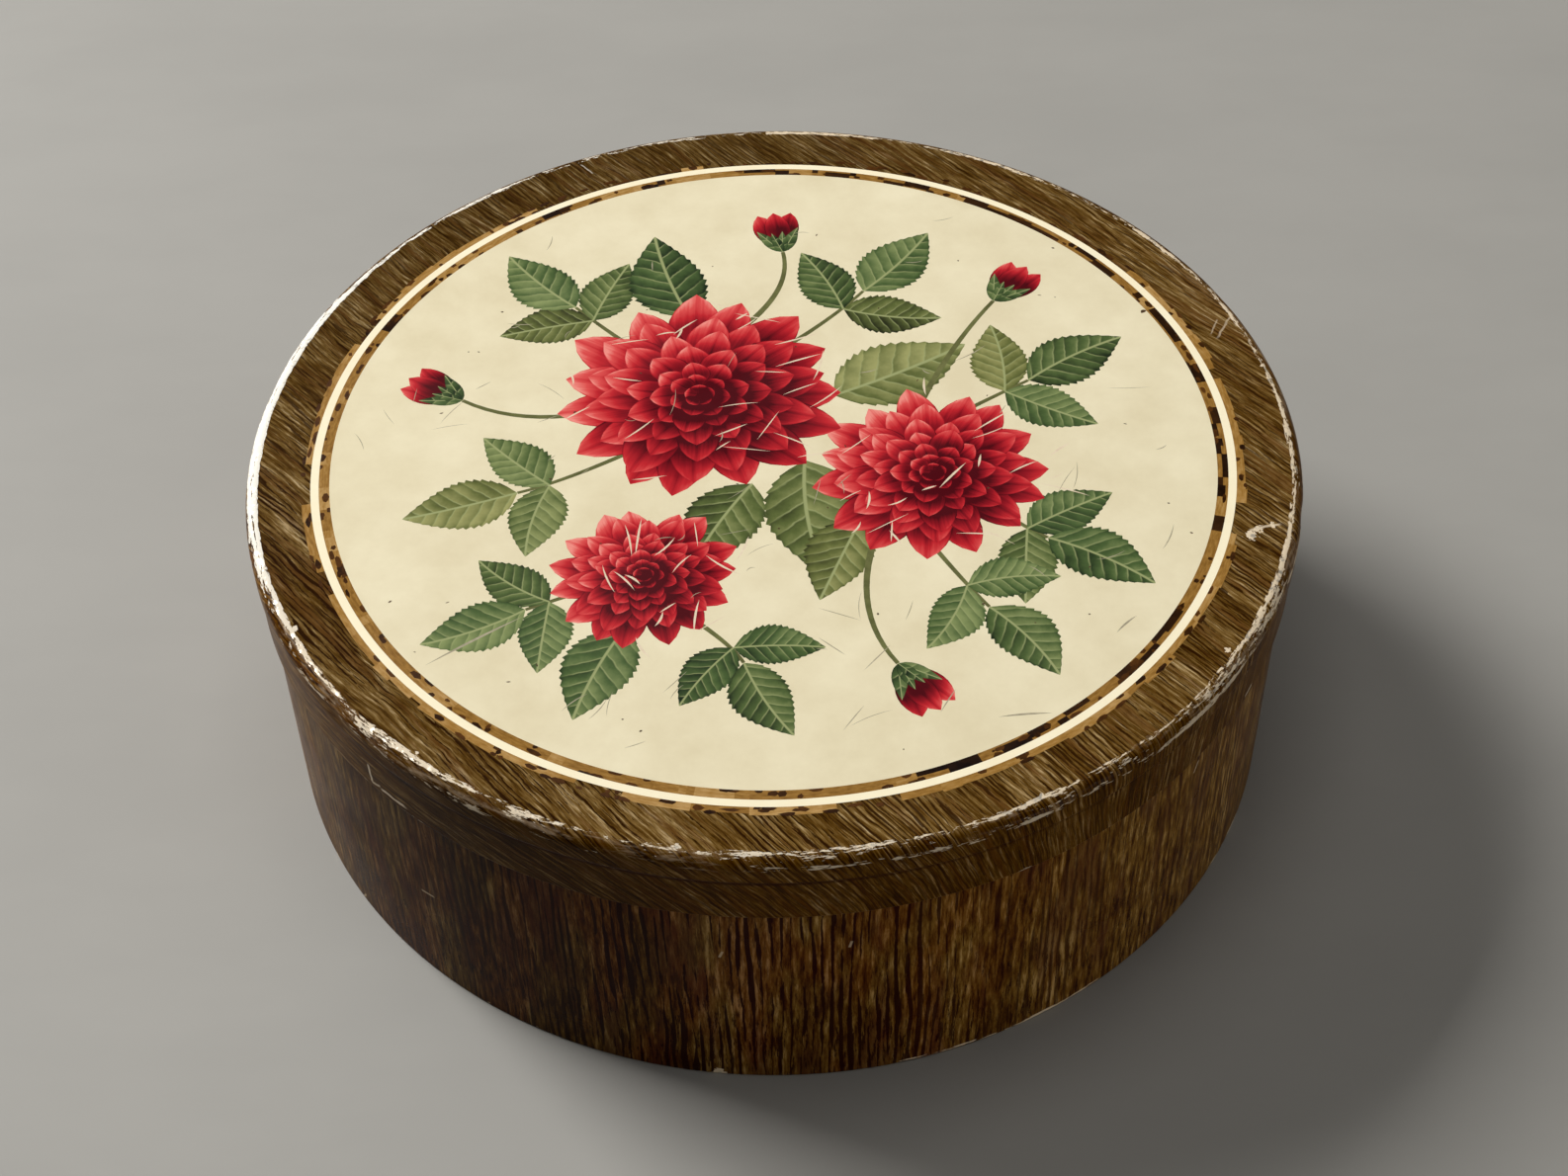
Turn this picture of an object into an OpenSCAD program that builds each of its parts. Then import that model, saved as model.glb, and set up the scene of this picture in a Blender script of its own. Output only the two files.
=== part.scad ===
// Round printed sheet-metal box with a lift-off lid, in millimetres.
// The origin is the centre of the base, on the surface that the box stands on, with +Z up.
// The lid is one drawn sheet. The body is a strip rolled into a wall, with its two ends locked together
// in a seam at the back, and a separate bottom disc that is clinched into a fold of the wall.

/* [Box] */
// Outer diameter over the rim bead of the lid
lid_d = 200; // [140:1:280]
// Height of the closed box
box_h = 65.4; // [45:0.2:140]
// Thickness of the aluminium sheet
sheet = 0.3; // [0.25:0.05:0.45]

/* [Lid] */
// Depth of the lid, from its top to its lower edge
lid_h = 15.8; // [12:0.2:30]
// Outer radius of the rounded shoulder between the top and the rim bead
shoulder_r = 2.3; // [1.8:0.1:4]
// Depth of the crease under the rim bead, below the top
crease_depth = 5.7; // [5:0.1:9]
// How far the skirt steps in at the crease
crease_step = 0.4; // [0.2:0.05:0.8]
// Radius of each of the two bends of the crease, at the middle of the sheet
crease_bend_r = 0.6; // [0.5:0.05:1]
// Height of the hem that is folded inward at the lower edge of the lid
lid_hem_h = 3; // [2:0.1:5]

/* [Body] */
// Outer diameter of the curl that is rolled inward at the top of the wall
curl_d = 2.2; // [1.6:0.1:3]
// How far the curl goes round, in degrees
curl_turn = 290; // [200:5:300]
// Height of the fold at the foot of the wall that clinches the bottom disc
clinch_h = 3; // [2:0.1:6]
// Inner radius of the two corners of the clinched fold
clinch_corner_r = 0.1; // [0.05:0.01:0.15]
// Inner radius of the bend between the bottom panel and its flange
panel_bend_r = 0.8; // [0.5:0.1:2]
// Width of the lock seam on the inside of the wall
lock_w = 6; // [3:0.1:9]
// Width of the joint line on the outside of the lock seam
lock_line_w = 0.4; // [0.2:0.05:0.8]

/* [Clearances] */
// Gap all round between the hem of the lid and the wall
lid_gap = 0.25; // [0.2:0.05:0.6]
// Gap between the underside of the lid and the top of the curl
seat_gap = 0.1; // [0.05:0.05:0.3]
// Gap between two layers of sheet in a fold
fold_gap = 0.1; // [0.05:0.01:0.15]
// Gap between the ends of the lock seam and the curl above or the bottom panel below
lock_end_gap = 0.5; // [0.3:0.1:2]

/* [Hidden] */
$fn = 180;

// Degrees between two points on a bend of the cross-section
bend_step = 15;

// One layer of sheet in a fold, with its gap
layer = sheet + fold_gap;

// Lid radii and levels
bead_r = lid_d / 2;
skirt_r = bead_r - crease_step;
hem_bend_r = sheet + fold_gap / 2;
hem_inner_r = skirt_r - sheet - layer;
lid_bottom_z = box_h - lid_h;
hem_top_z = lid_bottom_z + lid_hem_h;
shoulder_at = [bead_r - shoulder_r, box_h - shoulder_r];
hem_bend_at = [skirt_r - hem_bend_r, lid_bottom_z + hem_bend_r];

// The crease is two equal arcs that bend in and out again, one above the other
crease_turn = acos(1 - crease_step / (2 * crease_bend_r));
crease_half_h = crease_bend_r * sin(crease_turn);
crease_wide_r = crease_bend_r + sheet / 2;
crease_tight_r = crease_bend_r - sheet / 2;
crease_z = box_h - crease_depth;
crease_upper_at = [bead_r - crease_wide_r, crease_z + crease_half_h];
crease_lower_at = [skirt_r + crease_tight_r, crease_z - crease_half_h];

// Wall radii and levels
wall_r = hem_inner_r - lid_gap;
wall_inner_r = wall_r - sheet;
curl_r = curl_d / 2;
curl_top_z = box_h - sheet - seat_gap;
curl_at = [wall_r - curl_r, curl_top_z - curl_r];

// Layers of the clinched foot, from outside in: wall, flange of the disc, fold of the wall
flange_r = wall_r - layer;
flange_low_z = layer;
clinch_inner_r = flange_r - layer - sheet;
clinch_outer_bend_r = clinch_corner_r + sheet;
clinch_outer_at = [wall_r - clinch_outer_bend_r, clinch_outer_bend_r];
clinch_inner_at = [clinch_inner_r + clinch_outer_bend_r, clinch_outer_bend_r];

// Bottom panel
panel_outer_bend_r = panel_bend_r + sheet;
panel_bend_at = [flange_r - panel_outer_bend_r, clinch_h];
panel_top_z = clinch_h + panel_outer_bend_r;

// The lock seam is four layers thick, and one of them is the wall
lock_depth = 3 * layer;
lock_line_depth = sheet / 2;
lock_low_z = panel_top_z + lock_end_gap;
lock_top_z = curl_top_z - curl_d - lock_end_gap;

print_brown = [0.42, 0.30, 0.15];
wall_brown = [0.36, 0.25, 0.12];
bare_metal = [0.78, 0.78, 0.76];

// Points of an arc round a centre, from one angle to another
function arc(at, r, start, end) =
    let (steps = ceil(abs(end - start) / bend_step))
    [for (i = [0 : steps])
        let (angle = start + (end - start) * i / steps)
        at + r * [cos(angle), sin(angle)]];

// Half of the lid's cross-section: down its outside to the hem, then back up its inside
module lid_profile() {
    polygon(concat(
        [[0, box_h]],
        arc(shoulder_at, shoulder_r, 90, 0),
        arc(crease_upper_at, crease_wide_r, 0, -crease_turn),
        arc(crease_lower_at, crease_tight_r, 180 - crease_turn, 180),
        arc(hem_bend_at, hem_bend_r, 0, -180),
        [[hem_inner_r, hem_top_z], [hem_inner_r + sheet, hem_top_z]],
        arc(hem_bend_at, fold_gap / 2, -180, 0),
        arc(crease_lower_at, crease_wide_r, 180, 180 - crease_turn),
        arc(crease_upper_at, crease_tight_r, -crease_turn, 0),
        arc(shoulder_at, shoulder_r - sheet, 0, 90),
        [[0, box_h - sheet]]
    ));
}

// Half of the wall's cross-section: round the outside of the curl, down to the foot and up inside the
// clinched fold, then back along the other face of the sheet
module wall_profile() {
    polygon(concat(
        arc(curl_at, curl_r, curl_turn, 0),
        arc(clinch_outer_at, clinch_outer_bend_r, 0, -90),
        arc(clinch_inner_at, clinch_outer_bend_r, 270, 180),
        [[clinch_inner_r, clinch_h], [clinch_inner_r + sheet, clinch_h]],
        arc(clinch_inner_at, clinch_corner_r, 180, 270),
        arc(clinch_outer_at, clinch_corner_r, -90, 0),
        arc(curl_at, curl_r - sheet, 0, curl_turn)
    ));
}

// Half of the bottom disc's cross-section: over the panel and down its flange, then back underneath
module bottom_profile() {
    polygon(concat(
        [[0, panel_top_z]],
        arc(panel_bend_at, panel_outer_bend_r, 90, 0),
        [[flange_r, flange_low_z], [flange_r - sheet, flange_low_z]],
        arc(panel_bend_at, panel_bend_r, 0, 90),
        [[0, panel_top_z - sheet]]
    ));
}

// Upright strip that follows the wall at the back, between two radii
module back_strip(width, r_in, r_out) {
    half_turn = width / (2 * wall_r) * 180 / PI;
    rotate([0, 0, 90 - half_turn]) rotate_extrude(angle = 2 * half_turn)
        translate([r_in, lock_low_z]) square([r_out - r_in, lock_top_z - lock_low_z]);
}

module lid() {
    color(print_brown) rotate_extrude() lid_profile();
}

module body_wall() {
    color(wall_brown) difference() {
        union() {
            rotate_extrude() wall_profile();
            back_strip(lock_w, wall_inner_r - lock_depth, wall_r - lock_line_depth);
        }
        back_strip(lock_line_w, wall_r - lock_line_depth, wall_r + sheet);
    }
}

module bottom_disc() {
    color(bare_metal) rotate_extrude() bottom_profile();
}

lid();
body_wall();
bottom_disc();
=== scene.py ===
"""Looks of the round printed sheet-metal box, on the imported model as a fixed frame, in millimetres."""
import random
from dataclasses import dataclass
from functools import partial, partialmethod
from itertools import accumulate
from math import acos, atan2, ceil, cos, degrees, dist, exp, hypot, pi, radians, remainder, sin, sqrt, tau

import bpy
import numpy
from mathutils import Matrix, Vector
from mathutils.geometry import delaunay_2d_cdt


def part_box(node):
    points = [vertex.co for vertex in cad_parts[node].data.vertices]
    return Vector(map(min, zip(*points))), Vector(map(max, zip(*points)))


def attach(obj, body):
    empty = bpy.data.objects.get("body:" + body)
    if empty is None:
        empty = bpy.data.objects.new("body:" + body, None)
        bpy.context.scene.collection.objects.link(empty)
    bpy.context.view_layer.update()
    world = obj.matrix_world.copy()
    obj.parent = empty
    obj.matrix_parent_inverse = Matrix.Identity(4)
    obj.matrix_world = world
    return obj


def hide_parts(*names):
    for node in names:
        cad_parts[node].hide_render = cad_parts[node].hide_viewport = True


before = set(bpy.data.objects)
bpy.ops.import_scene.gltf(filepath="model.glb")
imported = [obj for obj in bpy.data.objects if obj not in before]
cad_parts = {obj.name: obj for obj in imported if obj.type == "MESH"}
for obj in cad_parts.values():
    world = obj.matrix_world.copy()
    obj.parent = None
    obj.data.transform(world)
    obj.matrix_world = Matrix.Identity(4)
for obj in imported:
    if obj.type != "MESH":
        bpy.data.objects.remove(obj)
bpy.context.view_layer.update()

MM = 0.001

# Outer sizes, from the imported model
LID_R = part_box("lid")[1][0] / MM
TOP_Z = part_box("lid")[1][2] / MM
LID_LOW_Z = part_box("lid")[0][2] / MM
WALL_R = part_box("body_wall")[1][0] / MM
WALL_TOP_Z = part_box("body_wall")[1][2] / MM
FLANGE_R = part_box("bottom_disc")[1][0] / MM
FLANGE_LOW_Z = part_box("bottom_disc")[0][2] / MM
FLOOR_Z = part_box("bottom_disc")[1][2] / MM

# Sheet and bends, as in the part's source
SHEET = 0.3
FOLD_GAP = 0.1
SHOULDER_R = 2.3
CREASE_DEPTH = 5.7
CREASE_STEP = 0.4
CREASE_BEND_R = 0.6
HEM_H = 3
CURL_R = 1.1
CURL_TURN = 290
CLINCH_H = 3
CLINCH_CORNER_R = 0.1
PANEL_BEND_R = 0.8
LOCK_W = 6
LOCK_LINE_W = 0.4
LOCK_END_GAP = 0.5

# Print on the lid: radii of its rings, and how far it sits off the middle of the lid
CREAM_R = 83.9
INNER_GOLD_R = 85.9
WHITE_R = 87.45
OUTER_GOLD_R = 89
PRINT_AT = (-0.1, -0.8)

# How far the lid's own top lies below the printed panel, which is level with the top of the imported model
PANEL_SINK = 0.04

# Angles of the turned pieces, all round from the back of the box
SEGMENTS = 480
ANGLES = [tau * (0.25 + j / SEGMENTS) for j in range(SEGMENTS)]


def display(red, green, blue):
    """A colour as it shows on a screen, 0 to 255, turned into the linear values of a shader."""
    linear = []
    for value in (red, green, blue):
        part = value / 255
        linear.append(part / 12.92 if part <= 0.04045 else ((part + 0.055) / 1.055) ** 2.4)
    return (*linear, 1)


def inks(*colours):
    return tuple(display(*colour) for colour in colours)


class Nodes:
    """Builds one material's node tree. Inputs may be sockets, numbers or tuples."""

    def __init__(self, name):
        self.material = bpy.data.materials.new(name)
        self.material.use_nodes = True
        self.tree = self.material.node_tree
        self.tree.nodes.clear()

    def feed(self, socket, value):
        if isinstance(value, bpy.types.NodeSocket):
            self.tree.links.new(value, socket)
        else:
            socket.default_value = value

    def node(self, kind, inputs=(), **settings):
        """A new shader node. inputs are the values of its sockets, in their order or by their names."""
        made = self.tree.nodes.new("ShaderNode" + kind)
        for key, value in settings.items():
            setattr(made, key, value)
        for key, value in inputs.items() if isinstance(inputs, dict) else enumerate(inputs):
            self.feed(made.inputs[key], value)
        return made

    def math(self, operation, *values, clamp=False):
        return self.node("Math", values, operation=operation, use_clamp=clamp).outputs[0]

    def chain(self, operation, first, *others):
        for other in others:
            first = self.math(operation, first, other)
        return first

    add = partialmethod(chain, "ADD")
    minus = partialmethod(chain, "SUBTRACT")
    times = partialmethod(chain, "MULTIPLY")
    most = partialmethod(chain, "MAXIMUM")

    def vector(self, operation, *values):
        made = self.node("VectorMath", values, operation=operation)
        return made.outputs["Value" if operation in ("DOT_PRODUCT", "LENGTH", "DISTANCE") else "Vector"]

    dot = partialmethod(vector, "DOT_PRODUCT")

    def join(self, x, y, z=0):
        return self.node("CombineXYZ", (x, y, z)).outputs[0]

    def parts(self, vector):
        return self.node("SeparateXYZ", (vector,)).outputs

    def attribute(self, name):
        """The three values that the mesh keeps at its corners under a name."""
        return self.parts(self.node("Attribute", attribute_name=name).outputs["Vector"])

    def position(self):
        """The place on the piece itself, in millimetres."""
        place = self.node("TexCoord").outputs["Object"]
        return self.node("VectorMath", {0: place, "Scale": 1 / MM}, operation="SCALE").outputs[0]

    def noise(self, at, stretch, detail=2, roughness=0.5, start=0):
        """Noise from 0 to 1. stretch gives the features per millimetre, the same or along each axis."""
        inputs = {"Vector": at, "Scale": 1, "Detail": detail, "Roughness": roughness}
        made = self.node("TexNoise", inputs)
        made.texture_mapping.scale = (*stretch, 1)[:3] if isinstance(stretch, tuple) else (stretch,) * 3
        made.texture_mapping.translation = (start, start * 0.7, start * 1.3)
        return made.outputs[0]

    def between(self, value, low, high, to_low=0, to_high=1):
        """A smooth step from to_low at low, to to_high at high."""
        inputs = {"Value": value, "From Min": low, "From Max": high, "To Min": to_low, "To Max": to_high}
        return self.node("MapRange", inputs, interpolation_type="SMOOTHSTEP").outputs[0]

    def ramp(self, value, *stops):
        """Colour or number by value. Each stop is a position and a colour, or a position and a number."""
        made = self.node("ValToRGB", (value,))
        elements = made.color_ramp.elements
        while len(elements) < len(stops):
            elements.new(1)
        for element, (position, colour) in zip(elements, stops):
            element.position = position
            element.color = colour if isinstance(colour, tuple) else (colour,) * 4
        return made.outputs["Color" if isinstance(stops[0][1], tuple) else "Alpha"]

    def mix(self, factor, first, second):
        return self.node("Mix", {0: factor, 6: first, 7: second}, data_type="RGBA").outputs[2]

    def shade(self, colour, factor):
        """The colour, made darker by a factor of 1 or less."""
        return self.mix(self.minus(1, factor), colour, (0, 0, 0, 1))

    def tinted(self, colour, factor, value=1, saturation=1, hue=0.5):
        """The colour, made darker, fuller or of another hue by a factor from 0 to 1. 0.5 keeps its hue."""
        inputs = {"Color": colour, "Fac": factor, "Value": value, "Saturation": saturation, "Hue": hue}
        return self.node("HueSaturation", inputs).outputs[0]

    def surface(self, colour, roughness, metallic=0, height=None, depth=0, specular=0.5):
        """Ends the tree in a principled shader. depth is the bump's depth in millimetres."""
        inputs = {"Base Color": colour, "Roughness": roughness, "Metallic": metallic}
        shader = self.node("BsdfPrincipled", {**inputs, "Specular IOR Level": specular})
        if height is not None:
            bump = self.node("Bump", {"Distance": depth * MM, "Strength": 1, "Height": height})
            self.feed(shader.inputs["Normal"], bump.outputs[0])
        self.node("OutputMaterial", (shader.outputs[0],))
        return self.material


# Printed and bare finishes

BARE_TONE = display(204, 196, 180)
UNDERCOAT_TONE = display(222, 200, 166)


def wood(n, along, across, tones, pitch, sway, share, streak, lines, pores):
    """Printed wood grain. along and across are distances on the sheet, with the grain and across it.

    tones are four inks from dark to light and one of the warm streaks, pitch the distance between the fine
    dark lines, sway how far the grain wanders, share how much of it has lines, streak the width of the warm
    streaks, and lines and pores how strongly the long lines and the short dashes are inked.
    """
    fine = 1 / pitch
    flat = n.join(along, across)
    wander = n.noise(flat, (0.012, 0.03), 2)
    waver = n.noise(flat, 0.14, 2, 0.5, 19)
    grain = n.join(along, n.add(across, n.times(wander, sway), n.times(waver, sway * 0.15)))
    bands = n.noise(grain, (0.012, 0.14 * fine), 3, 0.6, 3.1)
    fibres = n.noise(grain, (0.12, 1.5 * fine), 4, 0.7, 7.7)
    tone = n.add(n.times(bands, 0.9), n.times(fibres, 2.1), -1)
    ground = n.ramp(tone, *zip((0.05, 0.38, 0.65, 0.95), tones))
    streaks = n.noise(grain, (0.02, 1 / streak), 3, 0.6, 13.9)
    ground = n.mix(n.between(streaks, 0.5, 0.62, 0, 0.6), ground, tones[4])
    drift = n.times(n.noise(grain, (0.02, 0.16 * fine), 3, 0.55, 11.3), 2 + 0.57 * sway)
    phase = n.math("FRACT", n.add(n.times(n.parts(grain)[1], fine), drift))
    crest = n.math("ABSOLUTE", n.minus(phase, 0.5))
    groups = n.noise(grain, (0.03, 0.19 * fine), 3, 0.6, 31)
    broken = n.noise(grain, (0.14 * fine**2, 1.1 * fine), 4, 0.75, 23.7)
    inked = n.add(n.times(groups, 0.45), n.times(broken, 0.55), share - 0.5)
    width = n.between(inked, 0.42, 0.6, 0, 0.3)
    line = n.times(n.between(n.minus(width, crest), 0, 0.05), lines)
    short = n.noise(grain, (0.16, 2.8 * fine), 4, 0.75, 17.9)
    pore = n.times(n.between(short, 0.55, 0.585), pores)
    ink = n.most(line, pore)
    return n.mix(ink, ground, tones[0]), ink


def worn_band(n, distance, turn, arc, middle, half_width, strengths, ragged=0.6, fade=(0.44, 0.56)):
    """Where the print is worn off along an edge, from 0 to 1, in strokes that run with the edge.

    distance runs down the sheet and has the edge at middle. strengths are pairs of a fraction of a turn and
    the share that is worn there. ragged is the weight of small flakes, and fade how sharply worn places end.
    """
    strength = n.ramp(turn, *strengths)
    off = n.math("DIVIDE", n.minus(distance, middle), half_width)
    near = n.minus(1, n.times(off, off))
    place = n.join(arc, distance)
    stretches = n.noise(place, (0.035, 0.3), 2, 0.5, middle * 0.7)
    strokes = n.noise(place, (0.16, 0.9), 3, 0.6, middle)
    flakes = n.noise(place, (0.55, 2.4), 3, 0.7, middle * 0.3)
    uneven = n.add(n.times(stretches, 1.4), n.times(strokes, 1.6), n.times(flakes, ragged), -1.5 - ragged / 2)
    level = n.add(n.times(near, strength), uneven)
    return n.times(n.between(level, *fade), n.between(near, 0, 0.15))


def line_mark(n, at, start, end, width):
    """A scratch between two points of the sheet, from 0 to 1, that fades at its ends."""
    run = (end[0] - start[0], end[1] - start[1], 0)
    length = hypot(run[0], run[1])
    offset = n.vector("SUBTRACT", at, (*start, 0))
    share = n.math("DIVIDE", n.dot(offset, run), length**2)
    across = n.math("DIVIDE", n.dot(offset, (-run[1], run[0], 0)), length)
    inside = n.times(n.between(share, 0, 0.12), n.between(share, 0.8, 1, 1, 0))
    return n.times(n.between(n.math("ABSOLUTE", across), width * 0.3, width * 0.6, 1, 0), inside)


def chip_mark(n, at, place, size):
    """A small ragged chip in the print, from 0 to 1."""
    ragged = n.times(n.noise(at, 0.9, 3, 0.7, place[0]), size * 3.2)
    away = n.add(n.vector("DISTANCE", at, (*place, 0)), ragged)
    return n.between(away, size * 2.35, size * 2.45, 1, 0)


def print_over_metal(n, colour, worn, at, height, undercoat):
    """Lacquered print, with pale undercoat, then bare metal, where it is worn and where worn marks stand for
    a painted highlight.
    """
    patchy = n.noise(at, 0.7, 3, 0.6, 5)
    bare = n.times(n.between(patchy, 0.54, 0.64, 0, 0.7), worn)
    stripped = n.mix(bare, undercoat, BARE_TONE)
    final = n.mix(worn, colour, stripped)
    gloss = n.noise(at, 0.05, 3, 0.6, 9)
    roughness = n.add(n.between(gloss, 0.3, 0.7, 0.26, 0.38), n.times(worn, 0.1))
    relief = n.minus(n.times(height, 0.2), n.times(worn, 0.8))
    return n.surface(final, roughness, bare, relief, 0.03, 0.03)


# Scratches in the lid's print, on its flat sheet: start, end, width and depth
LID_SCRATCHES = (
    ((92.7, 35.5), (87.8, 26.7), 0.45, 0.4),
    ((88.9, 33.1), (87.1, 28.1), 0.35, 0.35),
    ((-78.8, -75), (-82.3, -78.9), 0.7, 0.75),
    ((-82.2, -78.5), (-79.6, -79.9), 0.6, 0.6),
    ((-80.4, -80.1), (-74.2, -86), 0.7, 0.8),
    ((95.8, -61.6), (97.2, -58), 0.7, 0.7),
    ((86.8, -26), (93.4, -24.8), 0.6, 0.7),
    ((-37, 85), (-40, 88.5), 0.35, 0.45),
)

# Chips in the lid's print: place and size
LID_CHIPS = (
    ((87, -27.4), 1.3),
    ((88.6, -25.9), 1.1),
    ((91.4, -25), 0.7),
    ((78.9, -55.3), 0.8),
    ((91.5, -36.2), 0.5),
    ((96, 18.9), 0.5),
    ((43.4, -87.2), 0.5),
    ((-17.4, -96), 0.6),
    ((-62, -74.5), 0.5),
    ((-86, -45), 0.6),
)

# What changes round the lid, in pairs of a fraction of a turn, from the back by way of the left, and a share:
# how dark the lines are, how far painted shade darkens it at the back and on the front of its skirt, how dark
# the painted shade in the crease is, how far the shoulder is rubbed, and how white the bared places are,
# whitest on the left as a painted highlight
LID_LINES = ((0, 0.6), (0.22, 0.75), (0.28, 0.95), (0.48, 0.95), (0.55, 0.85), (0.7, 0.85), (0.95, 0.6))
LID_BACK_SHADE = (
    (0, 0.68), (0.125, 0.66), (0.25, 0.85), (0.375, 0.88), (0.5, 1), (0.75, 1), (0.88, 0.93), (1, 0.68),
)
LID_SKIRT_SHADE = ((0, 1), (0.35, 1), (0.4, 0.5), (0.45, 0.56), (0.5, 0.8), (0.56, 0.76), (0.62, 0.72), (0.7, 0.9))
LID_CREASE_SHADE = ((0, 0.3), (0.3, 0.7), (0.5, 0.8), (0.58, 0.3), (0.65, 0), (0.9, 0), (1, 0.3))
LID_RUB = ((0, 0.1), (0.2, 0.5), (0.35, 0.5), (0.45, 0.25), (0.58, 0.2), (0.7, 0.35), (0.8, 0.3), (0.95, 0.1))
LID_WHITE_HIGHLIGHT = ((0, 0.3), (0.12, 0.8), (0.18, 1), (0.28, 0.9), (0.34, 0.25), (0.5, 0.25), (0.6, 0.1), (0.9, 0.1))

# How much is worn off along the lid's edges, in like pairs; the high shares of the rim and of the band below
# it on the left are painted highlight as well as wear
RIM_WEAR_AND_HIGHLIGHT = (
    (0, 0.3), (0.1, 0.5), (0.17, 1), (0.22, 1.3), (0.28, 1.2), (0.33, 0.5), (0.38, 0.42), (0.42, 0.5),
    (0.46, 0.72), (0.52, 0.5), (0.6, 0.58), (0.66, 0.7), (0.75, 0.6),
)
LEFT_WEAR_AND_HIGHLIGHT = ((0, 0), (0.1, 0.1), (0.17, 0.45), (0.22, 0.85), (0.28, 0.9), (0.33, 0.3), (0.37, 0.1), (0.45, 0))
FRONT_WEAR = (
    (0, 0), (0.3, 0.15), (0.43, 0.2), (0.5, 0.15), (0.57, 0.15), (0.62, 0.35), (0.68, 0.35), (0.75, 0),
)
BEAD_WEAR = (
    (0, 0.1), (0.3, 0.2), (0.4, 0.25), (0.48, 0.35), (0.56, 0.5), (0.68, 0.6), (0.78, 0.4), (0.9, 0.1),
)
HEM_WEAR = ((0, 0), (0.3, 0.1), (0.5, 0), (0.66, 0.15), (0.8, 0))

# Inks of the wood grain, in the order that wood takes
LID_TONES = inks((38, 15, 0), (88, 60, 18), (126, 98, 52), (192, 166, 122), (96, 62, 26))
WALL_TONES = inks((40, 7, 2), (93, 57, 11), (133, 96, 37), (189, 151, 90), (94, 55, 27))

# Direction of the grain on the lid, in degrees from the right
LID_GRAIN = -49


def lid_print():
    n = Nodes("lid_print")
    x, y, turn = n.attribute("blank")
    flat = n.join(x, y)
    distance = n.vector("LENGTH", flat)
    arc = n.times(turn, tau * LID_R)
    band = partial(worn_band, n, distance, turn, arc)
    rim = LID_R - SHOULDER_R
    shoulder = rim + SHOULDER_R * pi / 2
    crease = shoulder + CREASE_DEPTH - SHOULDER_R
    hem = shoulder + TOP_Z - LID_LOW_Z - SHOULDER_R
    lean = radians(LID_GRAIN)
    along = n.dot(flat, (cos(lean), sin(lean), 0))
    across = n.dot(flat, (-sin(lean), cos(lean), 0))
    lines = n.times(n.between(distance, rim, crease, 1, 0.65), n.ramp(turn, *LID_LINES))
    colour, ink = wood(n, along, across, LID_TONES, 0.95, 7, 0.5, 2, lines, 0.5)
    # Painted shade: the whole lid made darker towards its back and back left
    colour = n.shade(colour, n.ramp(turn, *LID_BACK_SHADE))
    # Painted shade from the rim down over the shoulder and skirt, darkest on the front, with fuller, slightly
    # redder colour
    side = n.ramp(turn, *LID_SKIRT_SHADE)
    colour = n.tinted(colour, n.between(distance, rim, rim + 1.8), side, 1.11, 0.489)
    # Painted shade: a dark brown line along the crease under the bead
    off_crease = n.math("ABSOLUTE", n.minus(distance, crease + 0.4))
    crease_shade = n.times(n.between(off_crease, 0.35, 1, 0.95, 0), n.ramp(turn, *LID_CREASE_SHADE))
    colour = n.mix(crease_shade, colour, display(44, 12, 0))
    rubbed = band((rim + shoulder) / 2, 2.4, LID_RUB, 1, (0.3, 0.8))
    colour = n.mix(n.times(rubbed, 0.6), colour, display(160, 138, 112))
    wobble = n.join(n.noise(flat, 0.35, 3, 0.6, 2), n.noise(flat, 0.35, 3, 0.6, 6))
    shaky = n.vector("SUBTRACT", n.vector("ADD", flat, wobble), (0.5, 0.5, 0))
    # Wear along the edges, scratches and chips; on the left the rim band and the band below it are painted
    # highlight as well as wear
    worn = n.most(
        band(rim + 0.3, 0.7, RIM_WEAR_AND_HIGHLIGHT, 2.2),
        band(rim + 1.4, 1.3, LEFT_WEAR_AND_HIGHLIGHT, 1.4),
        band(rim + 1.2, 1.4, FRONT_WEAR, 1.6),
        n.times(band(shoulder - 0.4, 0.8, BEAD_WEAR, 1.3), 0.75),
        band(hem, 0.6, HEM_WEAR),
        *(n.times(line_mark(n, shaky, *ends, width), depth) for *ends, width, depth in LID_SCRATCHES),
        *(chip_mark(n, flat, place, size) for place, size in LID_CHIPS),
    )
    # Bared coat, whitened most on the left as a painted highlight
    bared_and_highlight = n.mix(n.ramp(turn, *LID_WHITE_HIGHLIGHT), UNDERCOAT_TONE, display(242, 238, 226))
    return print_over_metal(n, colour, worn, flat, ink, bared_and_highlight)


# Scratches in the wall's print: where they start and end, round the wall from the front and up from its foot
WALL_SCRATCHES = (
    ((-72.4, 25.2), (-68.6, 25.8)),
    ((-11.5, 36.5), (-10.8, 38.5)),
    ((11, 38.6), (11.5, 40.6)),
    ((83.4, 43.4), (84.7, 46.4)),
    ((-95.6, 0.4), (-94.2, 2.4)),
)

# What changes round the wall, in like pairs: how dark the lines are, how far painted shade darkens the wall,
# how red it is in patches, and how much is worn off along its edges, the foot's line also a painted highlight
WALL_LINES = (
    (0, 0.8), (0.3, 0.5), (0.38, 0.5), (0.45, 0.95), (0.53, 0.95), (0.57, 0.7), (0.62, 0.5), (0.8, 0.7),
)
WALL_PAINTED_SHADE = (
    (0, 0.85), (0.29, 0.95), (0.36, 0.5), (0.4, 0.42), (0.44, 0.5), (0.48, 0.68), (0.51, 0.86), (0.55, 1),
    (0.8, 1), (1, 0.85),
)
WALL_RED = ((0.3, 0), (0.37, 1), (0.47, 1), (0.53, 0.7), (0.61, 0))
FOOT_WEAR_AND_HIGHLIGHT = (
    (0, 0.1), (0.3, 0.2), (0.45, 0.3), (0.5, 0.2), (0.55, 0.55), (0.62, 0.45), (0.75, 0.2), (0.9, 0.1),
)
CURL_WEAR = ((0, 0.5), (1, 0.5))


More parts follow.
